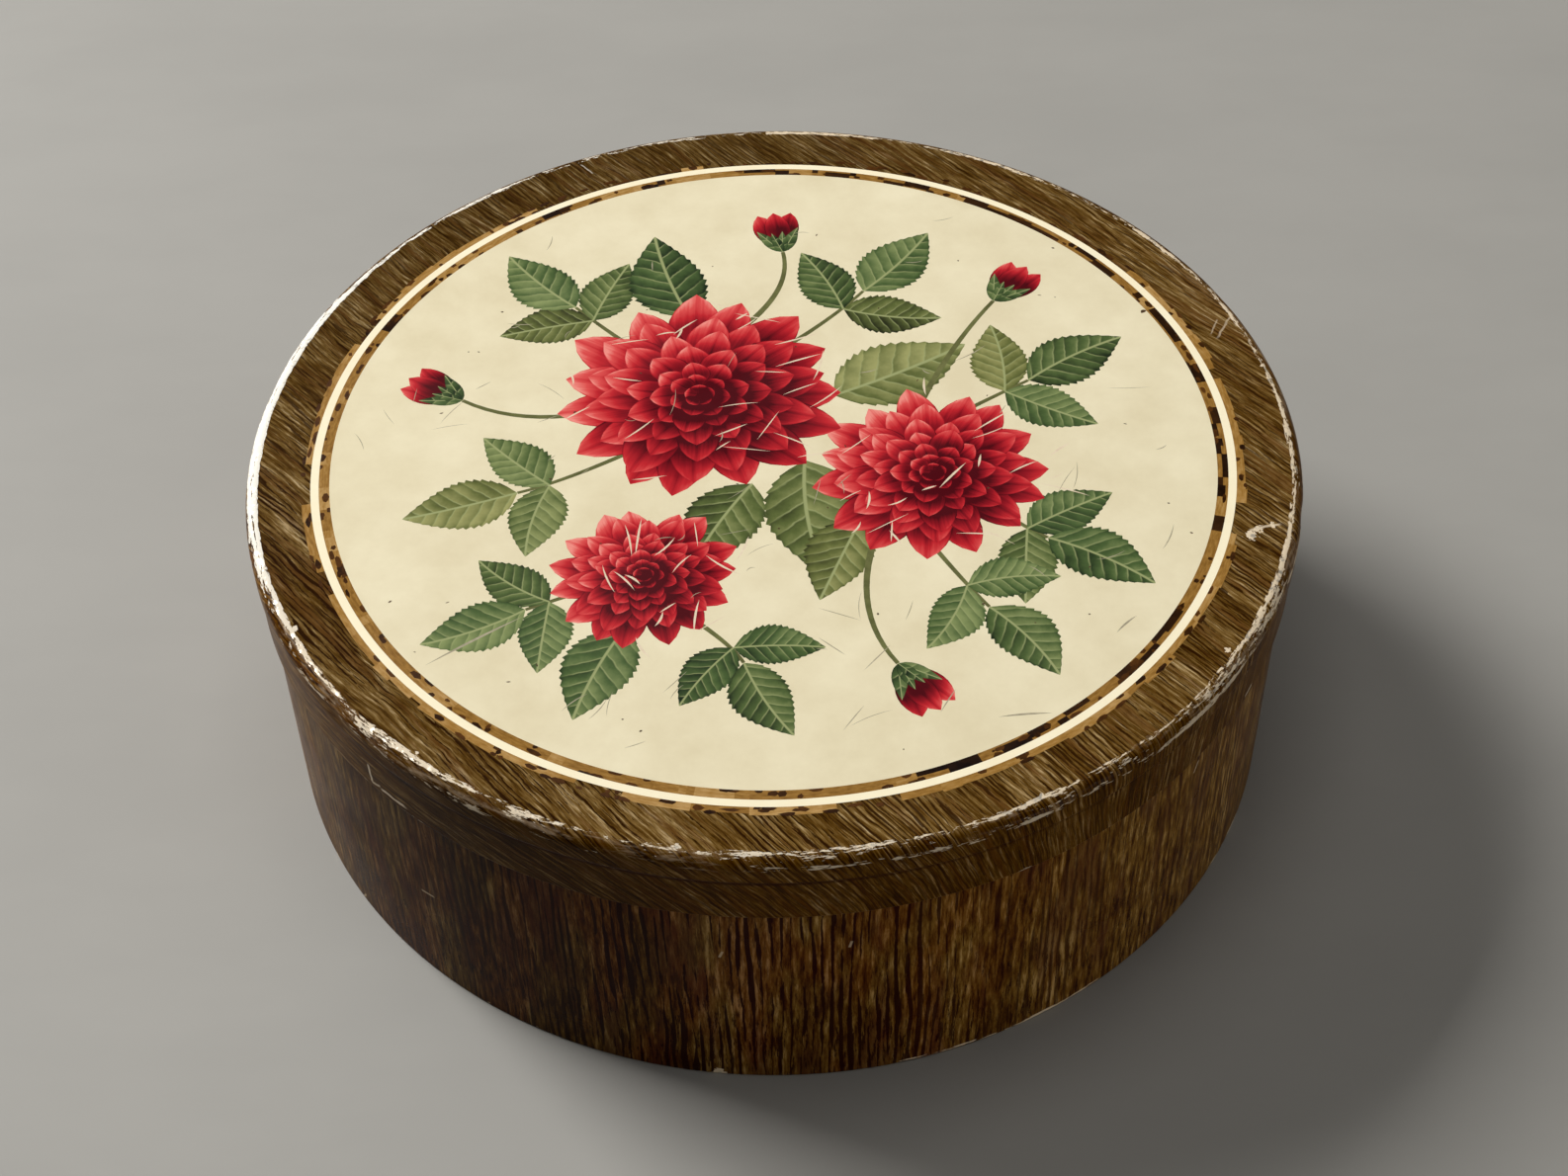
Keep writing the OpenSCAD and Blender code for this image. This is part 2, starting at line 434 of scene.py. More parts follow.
def wall_print():
    n = Nodes("wall_print")
    arc, distance, turn = n.attribute("blank")
    flat = n.join(arc, distance)
    band = partial(worn_band, n, distance, turn, arc)
    foot = radians(CURL_TURN) * CURL_R + WALL_TOP_Z - CURL_R
    height = n.minus(foot, distance)
    lines = n.ramp(turn, *WALL_LINES)
    pores = n.between(distance, foot - 40, foot - 10, 0.45, 0.9)
    colour, ink = wood(n, distance, arc, WALL_TONES, 1.7, 1.5, 0.51, 9, lines, pores)
    # Painted shade: the wall made darker by turn, most on its front left, a little at the back
    side = n.ramp(turn, *WALL_PAINTED_SHADE)
    red = n.ramp(turn, *WALL_RED)
    patches = n.between(n.noise(flat, (0.09, 0.025), 3, 0.6, 37), 0.42, 0.56)
    redder = n.times(red, patches)
    colour = n.tinted(n.shade(colour, side), redder, saturation=1.03, hue=0.48)
    # Wear along the edges and seam, a chip and scratches; the line at the foot is also a painted highlight on
    # its bend
    worn = n.most(
        band(foot - 0.6, 0.6, FOOT_WEAR_AND_HIGHLIGHT),
        band(CURL_R * radians(CURL_TURN - 45), 1.4, CURL_WEAR),
        n.times(
            n.between(n.minus(pi * WALL_R, n.math("ABSOLUTE", arc)), 0.3, 0.6, 1, 0),
            n.between(n.noise(flat, (0.8, 0.12), 3, 0.6, 4), 0.46, 0.56),
        ),
        chip_mark(n, flat, (-12.7, foot - 0.7), 1.2),
        *(n.times(line_mark(n, n.join(arc, height), *ends, 0.5), 0.5) for ends in WALL_SCRATCHES),
    )
    return print_over_metal(n, colour, worn, flat, ink, UNDERCOAT_TONE)


def bare_sheet():
    """Lacquered bare metal, with fine rolling lines, dull patches and light scratches."""
    n = Nodes("bare_sheet")
    at = n.position()
    rolled = n.noise(at, (0.03, 2.5, 0.6), 2, 0.6)
    dull = n.noise(at, 0.03, 4, 0.6, 3)
    stain = n.noise(at, 0.1, 5, 0.6, 8)
    tones = inks((182, 176, 162), (201, 198, 190), (207, 204, 198))
    colour = n.ramp(stain, *zip((0.22, 0.4, 0.8), tones))
    colour = n.shade(colour, n.between(rolled, 0.3, 0.7, 0.9, 1))
    scratched = 0
    for lean, start in ((0.5, 15), (2.2, 27)):
        along = n.dot(at, (cos(lean), sin(lean), 0.4))
        across = n.dot(at, (-sin(lean), cos(lean), 1))
        lines = n.noise(n.join(along, across), (0.04, 2.4), 3, 0.6, start)
        scratched = n.most(n.between(lines, 0.66, 0.7), scratched)
    colour = n.mix(n.times(scratched, 0.35), colour, display(226, 224, 218))
    roughness = n.add(n.between(dull, 0.35, 0.65, 0.31, 0.37), n.times(scratched, 0.15))
    relief = n.add(n.times(rolled, 0.4), n.times(dull, 0.4), n.times(scratched, -0.5))
    return n.surface(colour, roughness, 0.8, relief, 0.02)


# Sheet-metal pieces, turned round the axis of the box


def on_circle(at, radius, angle):
    return (at[0] + radius * cos(angle), at[1] + radius * sin(angle))


def arc_points(at, radius, start, end, step=10):
    """Points of an arc between two angles in degrees."""
    count = ceil(abs(end - start) / step)
    angles = [radians(start + (end - start) * i / count) for i in range(count + 1)]
    return [on_circle(at, radius, angle) for angle in angles]


def supported(points, close=0.2, longest=7):
    """The path with more points on its long straight stretches, so that the bends shade crisply."""
    path = [points[0]]
    for end in points[1:]:
        start = path[-1]
        length = dist(start, end)
        if length > 4 * close:
            pieces = ceil(length / longest)
            stops = [close] + [length * i / pieces for i in range(1, pieces)] + [length - close]
            for stop in stops:
                share = stop / length
                path.append((start[0] + (end[0] - start[0]) * share, start[1] + (end[1] - start[1]) * share))
        path.append(end)
    return path


def lengths_along(path):
    return list(accumulate(map(dist, path, path[1:]), initial=0))


def new_object(name, data):
    made = bpy.data.objects.new(name, data)
    bpy.context.scene.collection.objects.link(made)
    return made


def new_mesh(name, verts, faces, slots, uvs, materials, corners):
    """A mesh with its materials, its map for baking, and the values that materials read at its corners."""
    mesh = bpy.data.meshes.new(name)
    mesh.from_pydata(verts, [], faces)
    for key, values in corners.items():
        mesh.attributes.new(key, "FLOAT_VECTOR", "CORNER").data.foreach_set("vector", values)
    mesh.uv_layers.new(name="OFBake").data.foreach_set("uv", uvs)
    mesh.polygons.foreach_set("material_index", slots)
    for material in materials:
        mesh.materials.append(material)
    return mesh


def turned_sheet(name, outer, inner, angles, blank, bake_uv, materials, moved=None):
    """A sheet turned round the Z axis. outer and inner are its two faces, from one edge to the other.

    blank gives a corner's place on the flat sheet and bake_uv its place in the map for baking. materials are
    those of the outer and the inner face, or one for both. moved changes a point of the cross-section.
    """
    loop = outer + inner[::-1]
    along = lengths_along(outer) + lengths_along(inner)[::-1]
    on_axis = [point[0] < 1e-6 for point in loop]
    columns = len(angles)
    verts = []
    rings = []
    for k, point in enumerate(loop):
        side = "outer" if k < len(outer) else "inner"
        if on_axis[k]:
            rings.append([len(verts)] * columns)
            verts.append((0, 0, point[1] * MM))
            continue
        rings.append(list(range(len(verts), len(verts) + columns)))
        for angle in angles:
            r, z = moved(side, point, angle) if moved else point
            verts.append((r * cos(angle) * MM, r * sin(angle) * MM, z * MM))
    ends = angles[1:] + [angles[0] + tau]
    faces = []
    slots = []
    blanks = []
    uvs = []
    for k in range(len(loop)):
        after = (k + 1) % len(loop)
        if on_axis[k] and on_axis[after]:
            continue
        side = "outer" if 0 < after < len(outer) else "inner"
        for j in range(columns):
            corners = [(k, j, angles[j]), (after, j, angles[j]), (after, j + 1, ends[j]), (k, j + 1, ends[j])]
            if on_axis[k]:
                corners = corners[:3]
            elif on_axis[after]:
                corners = [corners[0], corners[1], corners[3]]
            faces.append([rings[i][column % columns] for i, column, _ in corners])
            slots.append(0 if side == "outer" else len(materials) - 1)
            middle = (angles[j] + ends[j]) / 2 / tau - 0.25
            for i, _, angle in corners:
                turn = angle / tau - 0.25
                blanks.extend(blank(along[i], angle, turn))
                uvs.extend(bake_uv(side, along[i], turn, middle))
    mesh = new_mesh(name, verts, faces, slots, uvs, materials, {"blank": blanks})
    mesh.polygons.foreach_set("use_smooth", [True] * len(faces))
    mesh.set_sharp_from_angle(angle=radians(40))
    mesh.update()
    return new_object(name, mesh)


def disc_blank(along, angle, turn):
    return (along * cos(angle), along * sin(angle), turn)


def disc_uv(at, radius, along, length, turn):
    return on_circle(at, radius * along / length, turn * tau)


# Small dents round the lid's rim: angle in degrees, place below the top, depth, half width and half height
DENTS = (
    (-141, 2.6, 0.30, 4, 1.8),
    (-116, 2.2, 0.25, 3, 1.4),
    (-83, 3, 0.25, 5, 1.8),
    (-58, 2.4, 0.30, 3.5, 1.6),
    (-34, 2, 0.25, 2.6, 1.2),
    (-12, 2.4, 0.30, 3, 1.6),
    (24, 2.2, 0.20, 3.5, 1.4),
    (75, 2.8, 0.25, 4.5, 1.6),
    (128, 2.2, 0.25, 3.5, 1.5),
    (169, 2.6, 0.30, 4, 1.8),
)


def dented(side, point, angle):
    """A point of the lid's cross-section, pushed in by the dents near it."""
    r, z = point
    share = min(max(r - LID_R + SHOULDER_R, 0), 1)
    for turn, below, depth, half_width, half_height in DENTS:
        off = remainder(angle - radians(turn), tau) * LID_R / half_width
        down = (TOP_Z - below - z) / half_height
        r -= share * depth * exp(-(off**2) - down**2)
    return r, z


# Levels below the lid's top at which its bead has points, so that the dents shade well
BEAD_LEVELS = (3, 3.8, 4.6)


def make_lid(materials):
    skirt_r = LID_R - CREASE_STEP
    hem_bend_r = SHEET + FOLD_GAP / 2
    hem_inner_r = skirt_r - 2 * SHEET - FOLD_GAP
    hem_top_z = LID_LOW_Z + HEM_H
    shoulder_at = (LID_R - SHOULDER_R, TOP_Z - SHOULDER_R)
    hem_at = (skirt_r - hem_bend_r, LID_LOW_Z + hem_bend_r)
    turn = degrees(acos(1 - CREASE_STEP / (2 * CREASE_BEND_R)))
    half_h = CREASE_BEND_R * sin(radians(turn))
    wide_r = CREASE_BEND_R + SHEET / 2
    tight_r = CREASE_BEND_R - SHEET / 2
    upper_at = (LID_R - wide_r, TOP_Z - CREASE_DEPTH + half_h)
    lower_at = (skirt_r + tight_r, TOP_Z - CREASE_DEPTH - half_h)

    def face(inset, top, shoulder_step, hem_step):
        return supported(
            top
            + arc_points(shoulder_at, SHOULDER_R - inset, 90, 0, shoulder_step)
            + [(LID_R - inset, TOP_Z - below) for below in BEAD_LEVELS]
            + arc_points(upper_at, wide_r - inset, 0, -turn, 12)
            + arc_points(lower_at, tight_r + inset, 180 - turn, 180, 12)
            + arc_points(hem_at, hem_bend_r - inset, 0, -180, hem_step)
            + [(hem_inner_r + inset, hem_top_z)]
        )

    panel_z = TOP_Z - PANEL_SINK
    outer = face(0, [(0, panel_z), (OUTER_GOLD_R + 1.4, panel_z)], 7.5, 15)
    inner = face(SHEET, [(0, TOP_Z - SHEET)], 10, 30)
    hidden = CREAM_R - 2
    outer_length = lengths_along(outer)[-1]
    inner_length = lengths_along(inner)[-1]

    def bake_uv(side, along, fraction, middle):
        if side == "inner":
            return disc_uv((0.1, 0.9), 0.095, along, inner_length, fraction)
        if along < hidden:
            return disc_uv((0.27, 0.9), 0.06, along, hidden, fraction)
        row = int(middle * 4)
        share = (along - hidden) / (outer_length - hidden)
        return (0.01 + 0.98 * (fraction * 4 - row), 0.2 * row + 0.005 + 0.19 * share)

    lid = turned_sheet("lid_shell", outer, inner, ANGLES, disc_blank, bake_uv, materials, dented)
    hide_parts("lid")
    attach(lid, "lid")


def make_wall(materials):
    inner_r = WALL_R - SHEET
    curl_at = (WALL_R - CURL_R, WALL_TOP_Z - CURL_R)
    bend_r = CLINCH_CORNER_R + SHEET
    clinch_inner_r = WALL_R - 3 * SHEET - 2 * FOLD_GAP
    foot_outer_at = (WALL_R - bend_r, bend_r)
    foot_inner_at = (clinch_inner_r + bend_r, bend_r)
    lock_low_z = FLOOR_Z + LOCK_END_GAP
    lock_top_z = WALL_TOP_Z - 2 * CURL_R - LOCK_END_GAP
    step = 0.01
    lock_levels = (lock_top_z + step, lock_top_z, lock_low_z, lock_low_z - step)

    def face(inset, foot_step):
        return supported(
            arc_points(curl_at, CURL_R - inset, CURL_TURN, 0)
            + [(WALL_R - inset, z) for z in lock_levels]
            + arc_points(foot_outer_at, bend_r - inset, 0, -90, foot_step)
            + arc_points(foot_inner_at, bend_r - inset, 270, 180, foot_step)
            + [(clinch_inner_r + inset, CLINCH_H)]
        )

    outer = face(0, 15)
    inner = face(SHEET, 30)
    outer_length = lengths_along(outer)[-1]
    inner_length = lengths_along(inner)[-1]
    lock_half = LOCK_W / 2 / WALL_R
    line_half = LOCK_LINE_W / 2 / WALL_R
    tiny = step / WALL_R
    seam_edges = [line_half, line_half + tiny, lock_half, lock_half + tiny]
    back = tau / 4
    angles = sorted(
        ANGLES
        + [back + edge for edge in seam_edges]
        + [back + tau - edge for edge in seam_edges]
    )

    def from_seam(angle):
        return min(angle - back, back + tau - angle)

    def moved(side, point, angle):
        r, z = point
        if lock_low_z - 1e-4 < z < lock_top_z + 1e-4:
            if side == "outer" and r == WALL_R and from_seam(angle) < line_half + tiny / 2:
                r -= SHEET / 2
            if side == "inner" and r == inner_r and from_seam(angle) < lock_half + tiny / 2:
                r -= 3 * (SHEET + FOLD_GAP)
        return r, z

    def blank(along, angle, fraction):
        return ((fraction - 0.5) * tau * WALL_R, along, fraction)

    def bake_uv(side, along, fraction, middle):
        if side == "inner":
            return (fraction, 0.885 + 0.11 * along / inner_length)
        row = int(middle * 3)
        return (0.01 + 0.98 * (fraction * 3 - row), 0.29 * row + 0.005 + 0.28 * along / outer_length)

    wall = turned_sheet("wall_shell", outer, inner, angles, blank, bake_uv, materials, moved)
    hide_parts("body_wall")
    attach(wall, "box")


def make_bottom(material):
    bend_at = (FLANGE_R - PANEL_BEND_R - SHEET, FLOOR_Z - PANEL_BEND_R - SHEET)

    def face(inset):
        return supported(
            [(0, FLOOR_Z - inset)]
            + arc_points(bend_at, PANEL_BEND_R + SHEET - inset, 90, 0)
            + [(FLANGE_R - inset, FLANGE_LOW_Z)]
        )

    outer = face(0)
    inner = face(SHEET)
    length = lengths_along(outer)[-1]

    def bake_uv(side, along, fraction, middle):
        at = (0.25, 0.5) if side == "outer" else (0.75, 0.5)
        return disc_uv(at, 0.24, along, length, fraction)

    bottom = turned_sheet("bottom_shell", outer, inner, ANGLES, disc_blank, bake_uv, [material])
    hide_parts("bottom_disc")
    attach(bottom, "box")


# Print on top of the lid: inlay rings, cream panel and a posy of garden flowers


@dataclass
class Patch:
    """A patch of one ink. root, turn and length place its own coordinates, which its ink shades by."""

    ink: str
    outline: list
    root: tuple = (0, 0)
    turn: float = 0
    length: float = 1
    shape: tuple = (0, 0, 0)
    tone: tuple = (0.5, 0.5, 0)


def disc(ink, radius, at=(0, 0), count=300):
    outline = [on_circle(at, radius, tau * i / count) for i in range(count)]
    return Patch(ink, outline, at, 0, radius * 3, tone=(0.2, 1, 0))


def ring_piece(ink, inside, outside, start, end, tone):
    """A piece of a ring between two angles in degrees. outside gives its outer radius at both ends."""
    count = max(1, ceil((end - start) / 2))
    outer = []
    inner = []
    for i in range(count + 1):
        share = i / count
        angle = radians(start + (end - start) * share)
        outer.append(on_circle((0, 0), outside[0] + (outside[1] - outside[0]) * share, angle))
        inner.append(on_circle((0, 0), inside, angle))
    return Patch(ink, outer + inner[::-1], tone=tone)


def width_at(u, power, fullness):
    """Half width of a leaf or petal at u, from 0 at its root to 1 at its tip, as a share of its widest."""
    return max(0, sin(pi * u**power)) ** fullness


# Where a leaf and a petal are widest, and how full they are
LEAF_FORM = (0.78, 0.95)
PETAL_FORM = (1.25, 0.75)


def blade(ink, root, turn, length, left, right, bend, tone, power, fullness, steps, teeth=0):
    """A leaf or petal. left and right are its half widths and bend its sideways curve, over its length."""
    direction = radians(turn)

    def margin(u, half, grow=1):
        v = bend * 4 * u * (1 - u) + half * width_at(u, power, fullness) * grow
        x = u * cos(direction) - v * sin(direction)
        y = u * sin(direction) + v * cos(direction)
        return (root[0] + x * length, root[1] + y * length)

    def side(half):
        points = []
        for i in range(1, steps):
            points.append(margin(i / steps, half, 1 - teeth))
            if teeth:
                points.append(margin(i / steps + 0.75 / steps, half, 1 + teeth))
        return points

    outline = [margin(0, 0)] + side(-right) + [margin(1, 0)] + side(left)[::-1]
    return Patch(ink, outline, root, direction, length, (bend, left, right), tone)


def leaf(root, turn, length, bend, rng):
    """A toothed leaf, one half of it a little narrower, as if turned away."""
    left = rng.uniform(0.24, 0.33)
    tone = (rng.uniform(0.35, 0.9), rng.random(), rng.uniform(0, 50))
    return blade("leaf", root, turn, length, left, 0.57 - left, bend, tone, *LEAF_FORM, 15, 0.05)


def petal(root, turn, length, half, light, row, rng):
    tone = (light, row, rng.uniform(0, 50))
    bend = rng.uniform(-0.04, 0.04)
    return blade("petal", root, turn, length, half, half, bend, tone, *PETAL_FORM, 10)


def polar(at, angle, distance):
    return on_circle(at, distance, radians(angle))


def stem(points, width):
    """A tapering stem along the smooth curve that points lead."""
    path = []
    count = 14
    for i in range(count + 1):
        level = [Vector(point) for point in points]
        while len(level) > 1:
            level = [a.lerp(b, i / count) for a, b in zip(level, level[1:])]
        path.append(level[0])
    left = []
    right = []
    for i, point in enumerate(path):
        ahead = path[min(i + 1, count)] - path[max(i - 1, 0)]
        side = Vector((-ahead.y, ahead.x)).normalized() * width / 2 * (1.25 - 0.5 * i / count)
        left.append(point + side)
        right.append(point - side)
    return Patch("stem", right + left[::-1], tone=(0.5, 0.5, points[0][0]))


def bloom(at, radius, rng):
    """A double flower: rows of broad pointed petals, each row lying on the one outside it."""
    patches = [disc("petal", radius * 0.3, at, 24)]
    rows = ((1, 15), (0.84, 14), (0.67, 13), (0.51, 11), (0.36, 9), (0.22, 7), (0.11, 5))
    for number, (share, count) in enumerate(rows):
        for step in (0, 1):
            for i in range(step, count, 2):
                turn = 360 * (i + 0.37 * number) / count + rng.uniform(-5, 5)
                reach = radius * share * rng.uniform(0.92, 1.05)
                start = reach * 0.16
                half = 1.02 * pi / count * rng.uniform(0.95, 1.12)
                light = 0.5 + 0.26 * cos(radians(turn - 130)) + rng.uniform(-0.1, 0.1)
                root = polar(at, turn, start)
                patches.append(petal(root, turn, reach - start, half, light, number / 6, rng))
    return patches


def bud(at, turn, size, rng):
    """A closed bud: three petals showing between green sepals."""
    patches = []
    for spread, light in ((-16, 0.35), (15, 0.6), (0, 0.5)):
        patches.append(petal(at, turn + spread, size, 0.21, light, 0.4, rng))
    for spread, share in ((-30, 0.66), (30, 0.66), (-8, 0.52), (12, 0.5)):
        tone = (rng.uniform(0.35, 0.6), 0.4, rng.uniform(0, 50))
        patches.append(blade("sepal", at, turn + spread, size * share, 0.17, 0.17, 0, tone, *LEAF_FORM, 8))
    return patches


def sprig(points, leaf_length, rng):
    """A side stem with a leaf at its end and a pair of leaves behind that."""
    _, bow, tip = points
    end_turn = degrees(atan2(tip[1] - bow[1], tip[0] - bow[0]))
    joint = tuple((bow[i] * 0.6 + tip[i] * 0.4) for i in (0, 1))
    patches = [stem(points, 0.9)]
    for root, spread, share in ((joint, 62, 0.86), (joint, -62, 0.86), (tip, 0, 1)):
        patches.append(leaf(root, end_turn + spread, leaf_length * share, rng.uniform(-0.06, 0.06), rng))
    return patches


# The posy: places and radii of the flowers, stems and turns of the buds, stems and leaf lengths of the
# sprigs, and roots, turns and lengths of the single leaves
BLOOMS = (((-24, -33), 17.5), ((30, -8), 23), ((-14, 15), 29))
BUDS = (
    (((-20, 16), (-44, 4), (-60, 15)), 148),
    (((26, 4), (34, 26), (45, 41)), 54),
    (((20, -20), (12, -42), (21, -56)), -58),
    (((-6, 34), (5, 46), (3, 58)), 98),
)
SPRIGS = (
    (((-24, 26), (-33, 35), (-39, 42)), 22),
    (((0, 26), (12, 36), (19, 45)), 23),
    (((30, 4), (42, 12), (50, 17)), 23),
    (((38, -14), (44, -22), (50, -26)), 22),
    (((-20, 4), (-38, -8), (-48, -11)), 22),
    (((-28, -34), (-38, -38), (-45, -41)), 20),
    (((-20, -40), (-9, -49), (-6, -55)), 19),
    (((24, -18), (32, -34), (38, -43)), 20),
)
LEAVES = (
    ((-16, 38), 106, 27),
    ((12, 14), 28, 30),
    ((6, -4), -84, 31),
    ((-4, -10), -118, 25),
    ((-27, -46), -112, 23),
    ((16, -20), -112, 22),
)


def posy():
    """Three double flowers with buds and sprigs of toothed leaves round them."""
    rng = random.Random(41)
    patches = []
    for points, length in SPRIGS:
        patches.extend(sprig(points, length, rng))
    for root, turn, length in LEAVES:
        patches.append(leaf(root, turn, length, rng.uniform(-0.07, 0.07), rng))
    for points, turn in BUDS:
        patches.append(stem(points, 1.1))
        patches.extend(bud(points[-1], turn, 13, rng))
    for at, radius in BLOOMS:
        patches.extend(bloom(at, radius, rng))
    return patches


def share_at(angle, stops):
    """A share that changes with the angle in degrees. Each stop is an angle and the share there."""
    return numpy.interp(angle, *zip(*stops))


# How much of the outer ring is there, and how much of the inner one is dark burr, by angle from the right
OUTER_SHARE = (
    (0, 0.85), (25, 0.6), (50, 0.3), (65, 0.1), (115, 0.1), (150, 0.75), (200, 0.85), (320, 0.88),
    (360, 0.85),
)
BURR_SHARE = (
    (0, 0.55), (40, 0.62), (90, 0.6), (115, 0.3), (140, 0.1), (250, 0.05), (282, 0.03), (296, 0.4),
    (330, 0.5), (360, 0.55),
)

# Radii of the middles of the flecks on the inner and the outer ring
INNER_FLECKS = (84.1, 84.6, 85.3, 85.7)
OUTER_FLECKS = (87.7, 88.2, 89)


def fleck(angle, radius, length, width, limit, rng):
    """A small ragged dark spot that lies along a ring, out to a limit."""
    outline = []
    count = rng.randint(5, 8)
    for i in range(count):
        turn = -tau * i / count
        reach = rng.uniform(0.7, 1.2) / 2
        along = degrees(length * reach * cos(turn) / radius)
        outline.append(polar((0, 0), angle + along, min(radius + width * reach * sin(turn), limit)))
    return Patch("fleck", outline, tone=(rng.random(), 0.5, rng.uniform(0, 50)))


def wood_tone(rng):
    return (rng.uniform(0.1, 1), rng.random(), rng.uniform(0, 50))


def inlay():
    """The rings: gold brown wood on both sides of a white line, in stepped pieces, with burr and flecks."""
    rng = random.Random(12)
    outer = []
    inner = [disc("gold", INNER_GOLD_R)]
    angle = 0
    while angle < 360:
        end = min(angle + rng.uniform(1.5, 8), 360)
        if rng.random() < share_at(angle, OUTER_SHARE):
            reach = OUTER_GOLD_R + rng.uniform(-0.5, 0.35)
            outside = (reach + rng.uniform(-0.2, 0.2), reach + rng.uniform(-0.2, 0.2))
            outer.append(ring_piece("gold", WHITE_R - 1, outside, angle, end, wood_tone(rng)))
        angle = end
    angle = 0
    while angle < 360:
        end = min(angle + rng.uniform(0.8, 5), 360)
        tone = wood_tone(rng)
        dark = rng.random() < share_at(angle, BURR_SHARE)
        reach = INNER_GOLD_R - rng.choice((0, 0, 0.5, 1))
        inside = CREAM_R - 0.5 + (rng.choice((0, 0.4, 0.9, 1.4)) if reach == INNER_GOLD_R else 0)
        if dark:
            inner.append(ring_piece("burr", inside, (reach, reach), angle, end, tone))
        elif rng.random() < 0.5:
            inner.append(ring_piece("gold", CREAM_R - 0.5, (INNER_GOLD_R, INNER_GOLD_R), angle, end, tone))
        angle = end
    rings = (inner, 3.2, 1.5, INNER_FLECKS, INNER_GOLD_R), (outer, 3.4, 1.4, OUTER_FLECKS, OUTER_GOLD_R + 0.4)
    for _ in range(150):
        for ring, longest, widest, radii, limit in rings:
            size = rng.uniform(0.8, longest), rng.uniform(0.7, widest)
            ring.append(fleck(rng.uniform(0, 360), rng.choice(radii), *size, limit, rng))
    return outer + [disc("white", WHITE_R)] + inner


def sliver(ink, start, end, width, bow):
    """A thin curved scratch."""
    count = 5
    run = Vector(end) - Vector(start)
    side = Vector((-run.y, run.x)).normalized()
    upper = []
    lower = []
    for i in range(1, count):
        t = i / count
        point = Vector(start) + run * t + side * bow * 4 * t * (1 - t)
        thick = side * width / 2 * (1 - abs(2 * t - 1) ** 2)
        upper.append(point + thick)
        lower.append(point - thick)
    return Patch(ink, [start] + lower + [end] + upper[::-1])


# Marks that stand out on the cream panel: ink, start, end and width
PANEL_MARKS = (
    ("scuff", (-62.1, -53.9), (-45.3, -42.6), 0.5),
    ("scuff", (37.6, -68.9), (47, -68.3), 0.45),
    ("scuff", (60, -50), (64, -46), 0.4),
    ("speck", (74.2, 36.2), (75.4, 37), 0.9),
)


def wear_marks():
    """Scratches through the inks to the pale coat under them, and grey scuffs on the cream."""
    rng = random.Random(77)

    def somewhere(at, radius):
        return polar(at, rng.uniform(0, 360), radius * sqrt(rng.random()))

    patches = [sliver(*mark, 0.2) for mark in PANEL_MARKS]
    for at, radius in BLOOMS:
        for _ in range(int(radius * 0.9)):
            start = somewhere(at, radius)
            end = polar(start, rng.gauss(35, 40), rng.uniform(3, 10))
            patches.append(sliver("scratch", start, end, rng.uniform(0.2, 0.5), rng.uniform(-0.4, 0.4)))
    for _ in range(60):
        start = somewhere((0, 0), 80)
        end = polar(start, rng.gauss(30, 50), rng.uniform(2, 9))
        if hypot(*end) < CREAM_R - 1:
            patches.append(sliver("scuff", start, end, rng.uniform(0.12, 0.26), rng.uniform(-0.5, 0.5)))
    for _ in range(40):
        start = somewhere((0, 0), 82)
        end = polar(start, rng.uniform(0, 360), rng.uniform(0.3, 0.9))
        patches.append(sliver("speck", start, end, rng.uniform(0.2, 0.45), 0))
    return patches


def make_panel(materials):
    """The printed panel: all patches cut into one flat mesh, where the topmost patch keeps each place."""
    patches = inlay() + [disc("cream", CREAM_R)] + posy() + wear_marks()
    points = []
    outlines = []
    for patch in patches:
        outlines.append(list(range(len(points), len(points) + len(patch.outline))))
        points.extend(Vector(point) for point in patch.outline)
    cut_points, _, cut_faces, _, _, owners = delaunay_2d_cdt(points, [], outlines, 1, 1e-4, True)
    names = list(materials)
    faces = []
    slots = []
    uvs = []
    corners = {"ink_uv": [], "ink_shape": [], "ink_tone": []}
    map_width = (OUTER_GOLD_R + 1) * 2.02
    for face, owner in zip(cut_faces, owners):
        if not owner:
            continue
        patch = patches[max(owner)]
        a, b, c = (cut_points[i] for i in face[:3])
        if (b - a).cross(c - a) < 0:
            face = face[::-1]
        faces.append(list(face))
        slots.append(names.index(patch.ink))
        for point in (cut_points[i] for i in face):
            offset = (point - Vector(patch.root)) / patch.length
            u = offset.x * cos(patch.turn) + offset.y * sin(patch.turn)
            v = offset.y * cos(patch.turn) - offset.x * sin(patch.turn)
            corners["ink_uv"].extend((u, v, 0))
            corners["ink_shape"].extend(patch.shape)
            corners["ink_tone"].extend(patch.tone)
            uvs.extend((0.5 + point.x / map_width, 0.5 + point.y / map_width))
    verts = [((p.x + PRINT_AT[0]) * MM, (p.y + PRINT_AT[1]) * MM, TOP_Z * MM) for p in cut_points]
    mesh = new_mesh("panel_print", verts, faces, slots, uvs, materials.values(), corners)
    mesh.update()
    panel = new_object("panel_print", mesh)
    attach(panel, "lid")


def lacquer(n, colour, roughness=0.34):
    """Ends an ink of the panel in the lid's clear lacquer, a little uneven and dulled in patches."""
    at = n.position()
    dull = n.noise(at, 0.05, 4, 0.6, 4)
    peel = n.noise(at, 0.5, 2, 0.5, 6)
    gloss = n.between(dull, 0.3, 0.7, roughness - 0.06, roughness + 0.1)
    return n.surface(colour, gloss, 0, peel, 0.006, 0.14)


